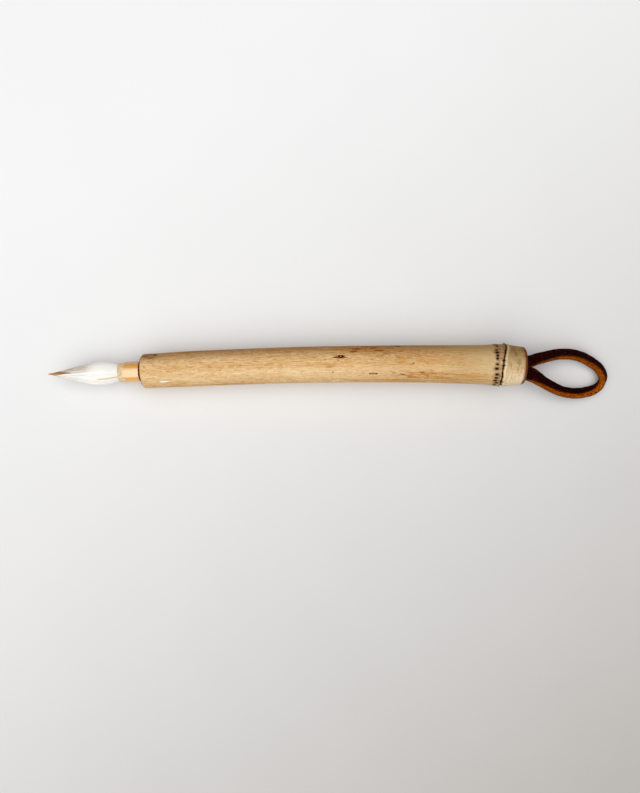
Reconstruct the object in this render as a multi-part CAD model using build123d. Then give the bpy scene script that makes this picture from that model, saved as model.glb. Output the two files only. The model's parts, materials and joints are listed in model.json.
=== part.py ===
from build123d import *
import os
from math import asin, cos, degrees, radians, sin, tan

# A calligraphy brush lying on a table: a bamboo culm for a handle, a thinner bamboo tube plugged into
# its front to hold the tied hair, and a leather lace looped out of its rear.
# Row frame: millimetres, +Z up, +X from the hair's tip to the loop. The origin is on the table, under
# the middle of the brush's box without its lace.
# Culm frame: origin at the middle of the handle's front face, +X along the chord to the rear face.

# Handle
handle_length = 184.5
barrel_length = 14.0        # straight round stretch at the front, where a cap is pushed on
barrel_radius = 8.375
corner_radius = 1.2         # worn front corner of the barrel
culm_lean = 2.2             # degrees between the barrel and the chord: the culm is bowed in plan
middle_station = 76.0       # stations are distances from the front face along the culm
middle_radius = 8.72
waist_station = 125.0
waist_radius = 8.95
shoulder_to_node = 11.3
shoulder_radius = 9.52
node_to_rear = 9.5          # ridge of the culm's node, from the rear face
node_radius = 10.2
collar_to_rear = 3.2
collar_radius = 9.6
rim_radius = 8.95
rim_length = 1.0
rim_round = 0.8
stem_spacing = 12.0         # between the sections that follow the bow
knuckle_spacing = 4.0       # and those around the node
lumen_radius = 4.0          # natural hollow of the culm
septum_thickness = 3.0      # wall that closes the culm inside its node

# Scar of the leaf sheath: a shallow slanted groove around the node
scar_to_rear = 10.2
scar_depth = 0.35
scar_width = 1.0
scar_slant_plan = 6.0
scar_slant_side = 11.0

# Ferrule: the bamboo tube between handle and hair
ferrule_radius = 5.0
ferrule_wall = 1.1
ferrule_exposed = 11.3
socket_depth = 16.0
glue_thickness = 0.25       # between the ferrule and its socket
taper_length = 2.7          # whittled end of the ferrule
mouth_wall = 0.35           # what the whittling leaves at the mouth
flare_depth = 3.6           # the ferrule's bore opens over this length for the hair to spread
flare = 0.3

# Tied head of hair
hair_length = 34.9          # from the ferrule's mouth to the tip
root_depth = 12.0           # hair held inside the ferrule
belly_station = 8.0         # thickest part of the tuft, from the mouth
belly_radius = 5.6
tip_radius = 0.22
tip_lean = 1.0              # the tip's drift to +Y from the ferrule's axis
bare_point = 5.4            # brown point past the end of the cover hair
filler_to_tip = 10.9        # the shorter hair that fills the belly ends this far from the tip
filler_radius = 3.9
core_radius = 1.9
mouth_fit = 0.3             # between the hair and the ferrule's mouth
root_fit = 0.1              # between the tied roots and what grips them
head_glue_thickness = 0.2
thread_thickness = 0.3
thread_width = 3.0
thread_from_end = 1.2       # bare root behind the binding
seal_thickness = 1.2
sleeve_length = 8.0         # glue around the binding

# Lace
lace_width = 4.4            # width of the leather strip
lace_room = 0.7             # between the tails and the wall of their bore
lace_bore_depth = 10.0
lace_fit = 0.1              # between a tail and the glue around it
plug_length = 6.0           # glue at the bottom of the bore

# Route of the lace, counted from the middle of the rear face along the row's axes
lace_route = [
    (-8.5, 2.4, 0.0),
    (0.5, 2.4, 0.0),
    (9.5, 4.2, -1.1),
    (18.5, 6.1, -3.1),
    (28.0, 5.4, -5.5),
    (35.6, 2.0, -7.3),
    (40.6, -1.8, -7.95),
    (42.2, -6.2, -8.0),
    (40.0, -10.2, -7.95),
    (35.0, -12.9, -7.4),
    (27.5, -14.2, -6.0),
    (19.0, -12.9, -4.0),
    (10.5, -8.6, -1.8),
    (0.5, -2.4, 0.0),
    (-8.5, -2.4, 0.0),
]
arc_share = 0.45            # of the shorter run beside a corner, taken by its arc

# Derived places
node_station = handle_length - node_to_rear
septum_rear = handle_length - lace_bore_depth
septum_front = septum_rear - septum_thickness
socket_radius = ferrule_radius + glue_thickness
ferrule_bore_radius = ferrule_radius - ferrule_wall
mouth_bore_radius = ferrule_bore_radius + flare
mouth_radius = mouth_bore_radius + mouth_wall
root_grip_radius = ferrule_bore_radius - head_glue_thickness - thread_thickness
root_radius = root_grip_radius - root_fit
cover_length = hair_length - bare_point
filler_length = hair_length - filler_to_tip
lace_bore_radius = abs(lace_route[0][1]) + lace_width / 2 + lace_room
rest_tilt = degrees(asin((node_radius - barrel_radius) / (node_station - corner_radius)))

barrel_direction = Vector(cos(radians(culm_lean)), sin(radians(culm_lean)), 0)
barrel_end = barrel_direction * barrel_length
rear_centre = Vector(handle_length, 0, 0)
culm_arc = TangentArc(barrel_end, rear_centre, tangent=barrel_direction)
front = Plane(origin=(0, 0, 0), x_dir=(0, 0, 1), z_dir=-barrel_direction)
mouth = front.offset(ferrule_exposed)
rear = Plane(origin=rear_centre, x_dir=(0, 0, 1), z_dir=culm_arc % 1)


def culm_plane(station):
    """Plane square to the bowed part of the culm's axis."""
    share = (station - barrel_length) / (handle_length - barrel_length)
    return Plane(origin=culm_arc @ share, x_dir=(0, 0, 1), z_dir=culm_arc % share)


def evenly_spaced(outline, spacing):
    """The (distance, radius) pairs of an outline, with more between those that are far apart."""
    pairs = [outline[0]]
    for (start, start_radius), (end, end_radius) in zip(outline, outline[1:]):
        count = max(1, round((end - start) / spacing))
        for step in range(1, count + 1):
            share = step / count
            pairs.append((start + (end - start) * share,
                          start_radius + (end_radius - start_radius) * share))
    return pairs


def culm_loft(outline, spacing):
    """Solid of round sections along the culm, from (station, radius) pairs."""
    pairs = evenly_spaced(outline, spacing)
    return loft([culm_plane(station) * Circle(radius) for station, radius in pairs], ruled=True)


def cylinder_from(plane, radius, start, end):
    """Cylinder on a plane's axis, between two distances along it."""
    body = Cylinder(radius, end - start, align=(Align.CENTER, Align.CENTER, Align.MIN))
    return plane.offset(start) * body


def turned_on(plane, outline):
    """Solid turned about a plane's axis, from its (radius, distance) half outline."""
    corners = [(radius, 0, distance) for radius, distance in outline]
    half = make_face(Polyline(*corners, close=True))
    return plane * revolve(half, Axis.Z)


def tuft_layer(outline):
    """Round root in the ferrule, cone in its flare and round sections along the leaning tuft.

    The outline is (distance, radius) pairs: where the flare starts, then from the mouth to the tip.
    """
    (flare_start, held_radius), (_, mouth_hair_radius) = outline[:2]
    root = cylinder_from(mouth, held_radius, -root_depth, flare_start)
    spread = loft([mouth.offset(flare_start) * Circle(held_radius), mouth * Circle(mouth_hair_radius)],
                  ruled=True)
    sections = []
    for distance, radius in outline[1:]:
        drift = tip_lean * (distance / hair_length) ** 2
        plane = mouth.offset(distance)
        sections.append(Plane(origin=plane.origin + plane.y_dir * drift, x_dir=plane.x_dir,
                              z_dir=plane.z_dir) * Circle(radius))
    return root + spread + loft(sections)


def make_handle():
    """Bamboo culm: bored at both ends, hollow between, closed by the septum in its node."""
    barrel = cylinder_from(front, barrel_radius, -barrel_length, 0)
    barrel = fillet(barrel.edges().group_by(Axis.X)[0], corner_radius)
    shoulder = (node_station - shoulder_to_node, shoulder_radius)
    stem = culm_loft([
        (barrel_length, barrel_radius),
        (middle_station, middle_radius),
        (waist_station, waist_radius),
        shoulder,
    ], stem_spacing)
    knuckle = culm_loft([
        shoulder,
        (node_station, node_radius),
        (handle_length - collar_to_rear, collar_radius),
        (handle_length - rim_length, rim_radius),
    ], knuckle_spacing)
    rim = cylinder_from(culm_plane(handle_length - rim_length), rim_radius, 0, rim_length)
    rim = fillet(rim.edges().group_by(Axis.X)[-1], rim_round)
    socket = cylinder_from(front, socket_radius, -socket_depth, 1)
    lumen = culm_loft([(socket_depth - 1, lumen_radius), (septum_front, lumen_radius)], stem_spacing)
    bore = cylinder_from(rear, lace_bore_radius, -lace_bore_depth, 1)
    scar_plane = culm_plane(handle_length - scar_to_rear)
    scar_plane = scar_plane.rotated((0, scar_slant_side, 0)).rotated((scar_slant_plan, 0, 0))
    scar = scar_plane * Torus(node_radius + scar_width / 2 - scar_depth, scar_width / 2)
    return barrel + stem + knuckle + rim - socket - lumen - bore - scar


def make_ferrule():
    """Bamboo tube in the socket, whittled at its mouth and eased inside it."""
    return turned_on(front, [
        (ferrule_bore_radius, -socket_depth),
        (ferrule_radius, -socket_depth),
        (ferrule_radius, ferrule_exposed - taper_length),
        (mouth_radius, ferrule_exposed),
        (mouth_bore_radius, ferrule_exposed),
        (ferrule_bore_radius, ferrule_exposed - flare_depth),
    ])


def make_ferrule_glue():
    """Lacquer glue that fills the socket around the ferrule, flush with the front face."""
    outer = cylinder_from(front, socket_radius, -socket_depth, 0)
    return outer - cylinder_from(front, ferrule_radius, -socket_depth, 0)


def make_hair():
    """The three layers of the head: stiff core, short filler and long cover hair."""
    core = tuft_layer([
        (-flare_depth, core_radius * 0.6),
        (0, core_radius * 0.72),
        (belly_station * 0.5, core_radius * 0.88),
        (belly_station, core_radius),
        (hair_length * 0.35, core_radius),
        (hair_length * 0.47, core_radius * 0.95),
        (hair_length * 0.58, core_radius * 0.87),
        (filler_length, core_radius * 0.76),
        (hair_length * 0.78, core_radius * 0.6),
        (hair_length * 0.89, core_radius * 0.36),
        (hair_length, tip_radius),
    ])
    filler = tuft_layer([
        (-flare_depth, root_radius * 0.65),
        (0, root_radius * 0.8),
        (belly_station * 0.5, filler_radius * 0.86),
        (belly_station, filler_radius),
        (hair_length * 0.35, filler_radius * 0.93),
        (hair_length * 0.47, filler_radius * 0.76),
        (hair_length * 0.58, filler_radius * 0.57),
        (filler_length, core_radius),
    ])
    cover = tuft_layer([
        (-flare_depth, root_radius),
        (0, mouth_bore_radius - mouth_fit),
        (belly_station * 0.5, belly_radius * 0.88),
        (belly_station, belly_radius),
        (hair_length * 0.35, belly_radius * 0.965),
        (hair_length * 0.45, belly_radius * 0.85),
        (hair_length * 0.56, belly_radius * 0.67),
        (hair_length * 0.67, belly_radius * 0.49),
        (hair_length * 0.78, belly_radius * 0.32),
        (cover_length, belly_radius * 0.22),
    ])
    return {
        "core_hair": core,
        "belly_hair": filler - core,
        "cover_hair": cover - filler - core,
    }


def make_root_thread():
    """Silk binding that ties the roots."""
    start = thread_from_end - root_depth
    end = start + thread_width
    band = cylinder_from(mouth, root_grip_radius + thread_thickness, start, end)
    return band - cylinder_from(mouth, root_grip_radius, start, end)


def make_root_seal():
    """Rosin melted over the cut ends of the roots."""
    end = -root_depth - root_fit
    return cylinder_from(mouth, root_radius, end - seal_thickness, end)


def make_head_glue(thread):
    """Glue sleeve between the tied roots and the ferrule's bore."""
    start = -root_depth
    end = start + sleeve_length
    sleeve = cylinder_from(mouth, ferrule_bore_radius, start, end)
    return sleeve - cylinder_from(mouth, root_grip_radius, start, end) - thread


def make_lace_path(exit_point):
    """Middle line of the lace: straight runs joined by arcs as large as the runs allow."""
    points = [exit_point + Vector(*step) for step in lace_route]
    runs = [after - before for before, after in zip(points, points[1:])]
    radii = []
    for run, following in zip(runs, runs[1:]):
        half_turn = radians(run.get_angle(following)) / 2
        radii.append(arc_share * min(run.length, following.length) / tan(half_turn))
    print("lace runs", [round(run.length, 1) for run in runs])
    print("lace radii", [round(radius, 1) for radius in radii])
    return FilletPolyline(*points, radius=radii)


def make_lace(path):
    """Leather lace, as a round cord of the strip's width."""
    section = Plane(origin=path @ 0, z_dir=path % 0) * Circle(lace_width / 2)
    lace = sweep(section, path)
    expected = section.area * path.length
    print("lace length", round(path.length, 1), "volume over section x length",
          round(lace.volume / expected, 4))
    return lace


def make_lace_glue(seat, exit_point):
    """Glue plug at the bottom of the rear bore, with a hole for each tail."""
    plug = cylinder_from(rear, lace_bore_radius, -lace_bore_depth, plug_length - lace_bore_depth)
    plug = seat * plug
    for end_point in (lace_route[0], lace_route[-1]):
        tail = Plane(origin=exit_point + Vector(*end_point), z_dir=(1, 0, 0))
        plug -= cylinder_from(tail, lace_width / 2 + lace_fit, -lace_fit, lace_bore_depth)
    return plug


def seat_on_table(pieces):
    """Placement that rests the brush on its barrel and its node, centred on the origin."""
    tilt = Rot(0, -rest_tilt, 0)
    box = Compound(children=[tilt * piece for piece in pieces]).bounding_box()
    return Location((-box.center().X, -box.center().Y, -box.min.Z)) * tilt


def main():
    thread = make_root_thread()
    nodes = {
        "handle": make_handle(),
        "ferrule": make_ferrule(),
        "ferrule_glue": make_ferrule_glue(),
        "root_thread": thread,
        "root_seal": make_root_seal(),
        "head_glue": make_head_glue(thread),
        **make_hair(),
    }
    seat = seat_on_table([nodes["handle"], nodes["core_hair"]])
    nodes = {name: seat * piece for name, piece in nodes.items()}

    exit_point = (seat * Location(rear_centre)).position
    nodes["lace"] = make_lace(make_lace_path(exit_point))
    nodes["lace_glue"] = make_lace_glue(seat, exit_point)

    os.makedirs("parts", exist_ok=True)
    for name, piece in nodes.items():
        export_step(piece, f"parts/{name}.step")


main()
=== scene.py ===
"""Looks of a calligraphy brush: bowed bamboo handle, bamboo ferrule, head of hair and leather loop.

Everything is in metres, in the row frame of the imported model. Sizes that only shape the looks are
fields of the class that uses them, in millimetres, and places come from the frame.
"""

import json
import logging
import math
import random
from dataclasses import dataclass, field
from enum import Enum
from typing import Callable, Optional, Sequence, Union

import bmesh
import bpy
from mathutils import Matrix, Vector, noise
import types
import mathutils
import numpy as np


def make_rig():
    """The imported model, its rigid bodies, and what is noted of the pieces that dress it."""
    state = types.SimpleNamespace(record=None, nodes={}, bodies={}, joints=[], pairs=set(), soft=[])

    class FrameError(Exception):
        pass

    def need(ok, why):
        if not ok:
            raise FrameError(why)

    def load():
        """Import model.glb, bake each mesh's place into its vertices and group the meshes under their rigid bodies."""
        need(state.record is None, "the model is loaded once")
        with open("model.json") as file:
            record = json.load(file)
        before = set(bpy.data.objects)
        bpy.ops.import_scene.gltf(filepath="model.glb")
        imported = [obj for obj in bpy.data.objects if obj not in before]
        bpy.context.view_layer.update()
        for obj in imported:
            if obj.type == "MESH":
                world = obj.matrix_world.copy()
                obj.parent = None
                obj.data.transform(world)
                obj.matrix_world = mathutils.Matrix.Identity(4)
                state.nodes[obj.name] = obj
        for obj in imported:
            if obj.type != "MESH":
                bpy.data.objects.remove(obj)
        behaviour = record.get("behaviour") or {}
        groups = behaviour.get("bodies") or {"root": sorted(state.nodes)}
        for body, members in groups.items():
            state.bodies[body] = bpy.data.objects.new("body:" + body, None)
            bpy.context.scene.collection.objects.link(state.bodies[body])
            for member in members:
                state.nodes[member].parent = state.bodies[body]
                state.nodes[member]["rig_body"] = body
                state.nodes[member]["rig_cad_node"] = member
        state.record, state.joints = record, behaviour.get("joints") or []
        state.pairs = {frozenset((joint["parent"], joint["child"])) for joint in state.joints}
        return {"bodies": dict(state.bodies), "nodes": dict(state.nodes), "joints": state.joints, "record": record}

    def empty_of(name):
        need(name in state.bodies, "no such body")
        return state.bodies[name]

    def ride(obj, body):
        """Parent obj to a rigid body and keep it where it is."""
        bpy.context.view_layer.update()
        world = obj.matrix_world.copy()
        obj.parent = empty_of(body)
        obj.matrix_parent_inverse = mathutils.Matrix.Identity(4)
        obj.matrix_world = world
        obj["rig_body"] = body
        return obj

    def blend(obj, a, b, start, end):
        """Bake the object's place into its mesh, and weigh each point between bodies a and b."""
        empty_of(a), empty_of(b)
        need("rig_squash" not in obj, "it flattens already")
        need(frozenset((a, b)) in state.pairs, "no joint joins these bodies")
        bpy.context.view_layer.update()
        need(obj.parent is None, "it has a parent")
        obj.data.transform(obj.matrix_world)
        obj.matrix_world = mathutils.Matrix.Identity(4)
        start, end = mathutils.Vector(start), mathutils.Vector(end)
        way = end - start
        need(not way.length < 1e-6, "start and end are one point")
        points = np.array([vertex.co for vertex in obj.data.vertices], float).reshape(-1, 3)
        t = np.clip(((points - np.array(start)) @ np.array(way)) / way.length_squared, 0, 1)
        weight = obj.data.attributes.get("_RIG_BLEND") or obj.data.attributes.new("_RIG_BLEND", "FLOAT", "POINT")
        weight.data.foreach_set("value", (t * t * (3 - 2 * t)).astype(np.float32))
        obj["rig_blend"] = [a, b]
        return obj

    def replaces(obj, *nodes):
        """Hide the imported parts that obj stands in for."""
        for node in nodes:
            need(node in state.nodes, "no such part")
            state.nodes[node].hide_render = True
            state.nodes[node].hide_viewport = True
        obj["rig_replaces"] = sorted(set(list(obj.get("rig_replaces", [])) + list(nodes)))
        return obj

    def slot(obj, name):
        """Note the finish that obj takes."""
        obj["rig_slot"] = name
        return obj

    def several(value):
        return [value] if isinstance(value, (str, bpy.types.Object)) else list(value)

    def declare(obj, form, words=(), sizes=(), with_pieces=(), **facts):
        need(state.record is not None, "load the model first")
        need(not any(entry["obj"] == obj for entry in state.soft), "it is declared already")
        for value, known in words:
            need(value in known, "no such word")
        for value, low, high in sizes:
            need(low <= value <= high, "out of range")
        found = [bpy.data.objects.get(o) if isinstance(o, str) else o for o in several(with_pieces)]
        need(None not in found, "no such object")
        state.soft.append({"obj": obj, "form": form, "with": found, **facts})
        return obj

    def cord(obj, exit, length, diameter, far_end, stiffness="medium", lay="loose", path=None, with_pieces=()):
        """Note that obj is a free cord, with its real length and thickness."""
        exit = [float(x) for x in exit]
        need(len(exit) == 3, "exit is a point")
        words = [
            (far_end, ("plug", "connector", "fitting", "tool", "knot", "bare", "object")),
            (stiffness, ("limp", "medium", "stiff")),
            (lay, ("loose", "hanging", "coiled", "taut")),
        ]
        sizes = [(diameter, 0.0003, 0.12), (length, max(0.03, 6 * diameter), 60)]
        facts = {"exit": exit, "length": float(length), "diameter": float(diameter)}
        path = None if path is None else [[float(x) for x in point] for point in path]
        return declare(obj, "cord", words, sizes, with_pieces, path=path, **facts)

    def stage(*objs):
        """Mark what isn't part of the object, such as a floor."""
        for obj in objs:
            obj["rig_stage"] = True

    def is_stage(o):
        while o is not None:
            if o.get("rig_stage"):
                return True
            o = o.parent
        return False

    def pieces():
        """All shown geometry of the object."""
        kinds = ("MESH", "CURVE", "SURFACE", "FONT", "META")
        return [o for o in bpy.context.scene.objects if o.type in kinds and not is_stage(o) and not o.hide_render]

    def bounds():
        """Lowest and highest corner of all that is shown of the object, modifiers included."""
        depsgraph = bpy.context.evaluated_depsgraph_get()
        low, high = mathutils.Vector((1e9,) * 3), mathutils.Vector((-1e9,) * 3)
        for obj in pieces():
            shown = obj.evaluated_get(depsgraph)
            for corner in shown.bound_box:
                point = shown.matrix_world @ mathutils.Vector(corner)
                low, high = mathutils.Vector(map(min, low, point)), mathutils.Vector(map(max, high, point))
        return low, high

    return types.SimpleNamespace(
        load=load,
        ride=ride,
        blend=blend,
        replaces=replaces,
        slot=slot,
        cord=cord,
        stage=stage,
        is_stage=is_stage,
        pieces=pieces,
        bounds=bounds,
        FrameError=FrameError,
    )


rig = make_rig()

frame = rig.load()
cad_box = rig.bounds()

LOG = logging.getLogger("brush")
MM = 0.001
SIZE_FILE = "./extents.json"
ALONG = "along"   # straightened place of each point: distance along the piece, then across it, in mm
MARKS = "marks"   # dark, stained and pale marks of the culm's node

Colour = tuple[float, float, float, float]
Input = Union[float, tuple, "bpy.types.NodeSocket"]
Knots = Sequence[tuple[float, float]]


class Body(Enum):
    """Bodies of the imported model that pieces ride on."""

    HANDLE = "handle"
    TUFT = "tuft"
    LOOP = "loop"


class Slot(Enum):
    """Material slots of the record."""

    CULM = "bamboo_culm"
    TUBE = "bamboo_tube"
    GLUE = "lacquer_glue"
    WHITE_HAIR = "white_hair"
    BROWN_HAIR = "brown_hair"
    THREAD = "silk_thread"
    ROSIN = "rosin"
    LEATHER = "lace_leather"


def srgb(red: float, green: float, blue: float) -> Colour:
    """Linear colour of a display colour.

    Args:
        red: Red from 0 to 255.
        green: Green from 0 to 255.
        blue: Blue from 0 to 255.

    Returns:
        The linear colour, with an alpha of 1.
    """
    channels = []
    for value in (red, green, blue):
        share = value / 255
        channels.append(share / 12.92 if share <= 0.04045 else ((share + 0.055) / 1.055) ** 2.4)
    return (*channels, 1.0)


def smoothstep(low: float, high: float, value: float) -> float:
    """Soft step from 0 at low to 1 at high.

    Args:
        low: Where the step starts.
        high: Where it ends.
        value: The place asked for.

    Returns:
        A number from 0 to 1.
    """
    share = min(max((value - low) / (high - low), 0.0), 1.0)
    return share * share * (3 - 2 * share)


def through(knots: Knots, place: float) -> float:
    """Smooth value through knots, without overshoot.

    Args:
        knots: Pairs of place and value, in rising order of place.
        place: The place asked for.

    Returns:
        The value there, held flat past both ends.
    """
    if place <= knots[0][0]:
        return knots[0][1]
    if place >= knots[-1][0]:
        return knots[-1][1]
    slopes = [(b[1] - a[1]) / (b[0] - a[0]) for a, b in zip(knots, knots[1:])]
    index = next(i for i in range(len(slopes)) if place <= knots[i + 1][0])
    tangents = []
    for i in (index, index + 1):
        before = slopes[max(i - 1, 0)]
        after = slopes[min(i, len(slopes) - 1)]
        tangents.append(0.0 if before * after <= 0 else 2 * before * after / (before + after))
    (start, low), (end, high) = knots[index], knots[index + 1]
    width = end - start
    t = (place - start) / width
    return ((1 + 2 * t) * (1 - t) ** 2 * low + t * (1 - t) ** 2 * width * tangents[0]
            + t * t * (3 - 2 * t) * high + t * t * (t - 1) * width * tangents[1])


def hump(value: float, centre: float, width: float) -> float:
    """Round hump of height 1 at a centre, which falls off over a width."""
    return math.exp(-((value - centre) / width) ** 2)


def ripple(x: float, y: float, z: float) -> float:
    """Smooth noise at a place, between -1 and 1."""
    return noise.noise(Vector((x, y, z)))


# ---------------------------------------------------------------- node trees


class Graph:
    """Short way to add and join the nodes of one tree."""

    def __init__(self, tree: bpy.types.NodeTree) -> None:
        """Keeps the tree that nodes are added to."""
        self.tree = tree

    def plug(self, value: Input, socket: bpy.types.NodeSocket) -> None:
        """Joins a socket to an input, or sets the input's own value."""
        if isinstance(value, bpy.types.NodeSocket):
            self.tree.links.new(value, socket)
        else:
            socket.default_value = value

    def add(self, kind: str, inputs: Optional[dict[Union[str, int], Input]] = None,
            **settings: object) -> bpy.types.Node:
        """Adds a node.

        Args:
            kind: The node's type, without its ShaderNode prefix.
            inputs: Values or sockets, by the input's name or number.
            **settings: Attributes to set on the node.

        Returns:
            The node.
        """
        node = self.tree.nodes.new("ShaderNode" + kind)
        for name, value in settings.items():
            setattr(node, name, value)
        for key, value in (inputs or {}).items():
            self.plug(value, node.inputs[key])
        return node

    def math(self, operation: str, first: Input, second: Input = 0.0) -> bpy.types.NodeSocket:
        """One Math node.

        Args:
            operation: The node's operation.
            first: First value.
            second: Second value, where the operation has one.

        Returns:
            The result's socket.
        """
        return self.add("Math", {0: first, 1: second}, operation=operation).outputs[0]

    def times(self, *values: Input) -> Input:
        """Multiplies values in turn.

        Args:
            *values: Numbers or sockets.

        Returns:
            Their product, which is the value itself where there is only one.
        """
        product = values[0]
        for value in values[1:]:
            product = self.math("MULTIPLY", product, value)
        return product

    def wander(self, value: Input, span: Input) -> bpy.types.NodeSocket:
        """Turns a value from 0 to 1 into a shift about 0, as wide as the span."""
        return self.times(self.math("SUBTRACT", value, 0.5), span)

    def mix(self, share: Input, first: Input, second: Input) -> bpy.types.NodeSocket:
        """Mixes two colours.

        Args:
            share: How much of the second.
            first: First colour.
            second: Second colour.

        Returns:
            The mixed colour's socket.
        """
        node = self.add("Mix", data_type="RGBA")
        self.plug(share, node.inputs["Factor"])
        self.plug(first, node.inputs[6])
        self.plug(second, node.inputs[7])
        return node.outputs[2]

    def layers(self, colour: Input, coats: Sequence[tuple]) -> Input:
        """Lays tints over a colour, one after another.

        Args:
            colour: The colour below them.
            coats: The tint of each, then the masks and shares that say how much of it shows.

        Returns:
            The colour's socket.
        """
        for tint, *shares in coats:
            colour = self.mix(self.times(*shares), colour, tint)
        return colour

    def soften(self, value: Input, low: float, high: float, start: float = 0.0,
               end: float = 1.0) -> bpy.types.NodeSocket:
        """Maps a stretch of values to another with a soft step.

        Args:
            value: The value to map.
            low: Where the step starts.
            high: Where it ends.
            start: Result at low.
            end: Result at high.

        Returns:
            The result's socket.
        """
        node = self.add("MapRange", {0: value, 1: low, 2: high, 3: start, 4: end},
                        interpolation_type="SMOOTHSTEP")
        return node.outputs[0]

    def noise(self, vector: Input, scale: float, detail: float = 2.0) -> bpy.types.NodeSocket:
        """A noise texture's value at a vector, whose scale is in marks per unit."""
        node = self.add("TexNoise", {"Vector": vector, "Scale": scale, "Detail": detail})
        return node.outputs[0]

    def along(self) -> bpy.types.NodeSocket:
        """The piece's straightened place, in mm."""
        return self.add("Attribute", attribute_name=ALONG).outputs["Vector"]

    def placed(self) -> bpy.types.NodeSocket:
        """The piece's place in the row frame, in mm."""
        spot = self.add("TexCoord").outputs["Object"]
        node = self.add("VectorMath", {0: spot, "Scale": 1 / MM}, operation="SCALE")
        return node.outputs[0]

    def group(self, tree: bpy.types.NodeTree, **inputs: Input) -> bpy.types.NodeSocket:
        """Places a shared group.

        Args:
            tree: The group.
            **inputs: Its inputs, with spaces written as underscores.

        Returns:
            The group's first output.
        """
        node = self.add("Group")
        node.node_tree = tree
        for name, value in inputs.items():
            self.plug(value, node.inputs[name.replace("_", " ")])
        return node.outputs[0]


def new_group(name: str, numbers: Sequence[str]) -> tuple[Graph, dict[str, bpy.types.NodeSocket],
                                                         Callable[[Input], bpy.types.NodeTree]]:
    """Starts a shared group that takes a vector and numbers, and gives one mask.

    Args:
        name: The group's name.
        numbers: Names of its number inputs.

    Returns:
        Its graph, its inputs by name, and a function that closes it with the mask.
    """
    tree = bpy.data.node_groups.new(name, "ShaderNodeTree")
    tree.interface.new_socket(name="Vector", in_out="INPUT", socket_type="NodeSocketVector")
    for number in numbers:
        tree.interface.new_socket(name=number, in_out="INPUT", socket_type="NodeSocketFloat")
    tree.interface.new_socket(name="Mask", in_out="OUTPUT", socket_type="NodeSocketFloat")
    entry = tree.nodes.new("NodeGroupInput")
    leave = tree.nodes.new("NodeGroupOutput")

    def close(mask: Input) -> bpy.types.NodeTree:
        """Joins the mask to the group's output and gives the group."""
        tree.links.new(mask, leave.inputs[0])
        return tree

    return Graph(tree), {socket.name: socket for socket in entry.outputs if socket.name}, close


class Effects:
    """Node groups that several finishes share, each built once."""

    def __init__(self) -> None:
        """Builds the groups."""
        self.streaks = self._streaks()
        self.blot = self._blot()
        self.band = self._band()

    @staticmethod
    def _streaks() -> bpy.types.NodeTree:
        """Fibres or hairs: noise drawn out along the piece, from 0 to 1."""
        graph, given, close = new_group("streaks", ["Along", "Across", "Low", "High"])
        parts = graph.add("SeparateXYZ", {0: given["Vector"]})
        drawn = graph.add("CombineXYZ", {
            0: graph.times(parts.outputs[0], given["Along"]),
            1: graph.times(parts.outputs[1], given["Across"]),
            2: graph.times(parts.outputs[2], given["Across"]),
        })
        value = graph.noise(drawn.outputs[0], 1.0, 3.0)
        ranged = graph.add("MapRange", {0: value, 1: given["Low"], 2: given["High"]},
                           interpolation_type="SMOOTHSTEP")
        return close(ranged.outputs[0])

    @staticmethod
    def _blot() -> bpy.types.NodeTree:
        """One ragged oval mark at a distance along the piece and an angle around it."""
        names = ["Station", "Angle", "Radius", "Half length", "Half width", "Ragged"]
        graph, given, close = new_group("blot", names)
        parts = graph.add("SeparateXYZ", {0: given["Vector"]})
        turn = graph.math("ARCTAN2", parts.outputs[1], parts.outputs[2])
        arc = graph.times(graph.math("SUBTRACT", turn, given["Angle"]), given["Radius"])
        run = graph.math("SUBTRACT", parts.outputs[0], given["Station"])
        spot = graph.add("CombineXYZ", {
            0: graph.math("DIVIDE", run, given["Half length"]),
            1: graph.math("DIVIDE", arc, given["Half width"]),
        })
        reach = graph.add("VectorMath", {0: spot.outputs[0]}, operation="LENGTH").outputs["Value"]
        rough = graph.wander(graph.noise(given["Vector"], 1.3, 4.0), given["Ragged"])
        edge = graph.math("ADD", reach, rough)
        return close(graph.soften(edge, 0.65, 1.0, 1.0, 0.0))

    @staticmethod
    def _band() -> bpy.types.NodeTree:
        """A ragged band around the piece."""
        graph, given, close = new_group("band", ["Station", "Half width", "Ragged"])
        parts = graph.add("SeparateXYZ", {0: given["Vector"]})
        rough = graph.wander(graph.noise(given["Vector"], 0.45, 4.0), given["Ragged"])
        run = graph.math("SUBTRACT", parts.outputs[0], given["Station"])
        shifted = graph.math("ADD", run, rough)
        reach = graph.math("DIVIDE", graph.math("ABSOLUTE", shifted), given["Half width"])
        return close(graph.soften(reach, 0.5, 1.0, 1.0, 0.0))


@dataclass(frozen=True)
class Finish:
    """A finish: base for the materials of the brush."""

    name: str
    roughness: float = 0.5

    def material(self, effects: Effects) -> bpy.types.Material:
        """Builds the finish.

        Args:
            effects: Shared node groups.

        Returns:
            The material.
        """
        made = bpy.data.materials.new(self.name)
        made.use_nodes = True
        graph = Graph(made.node_tree)
        shader = made.node_tree.nodes["Principled BSDF"]
        shader.inputs["Roughness"].default_value = self.roughness
        self.paint(graph, shader, effects)
        return made

    def paint(self, graph: Graph, shader: bpy.types.Node, effects: Effects) -> None:
        """Joins the finish's colours and relief to its shader."""
        raise NotImplementedError

    @staticmethod
    def relief(graph: Graph, shader: bpy.types.Node, height: Input, depth: float,
               strength: float = 1.0) -> None:
        """Gives the shader a bump.

        Args:
            graph: The material's graph.
            shader: Its shader.
            height: Height from 0 to 1.
            depth: What a height of 1 stands for, in mm.
            strength: Strength of the bump.
        """
        bump = graph.add("Bump", {"Strength": strength, "Distance": depth * MM, "Height": height})
        graph.plug(bump.outputs[0], shader.inputs["Normal"])


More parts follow.
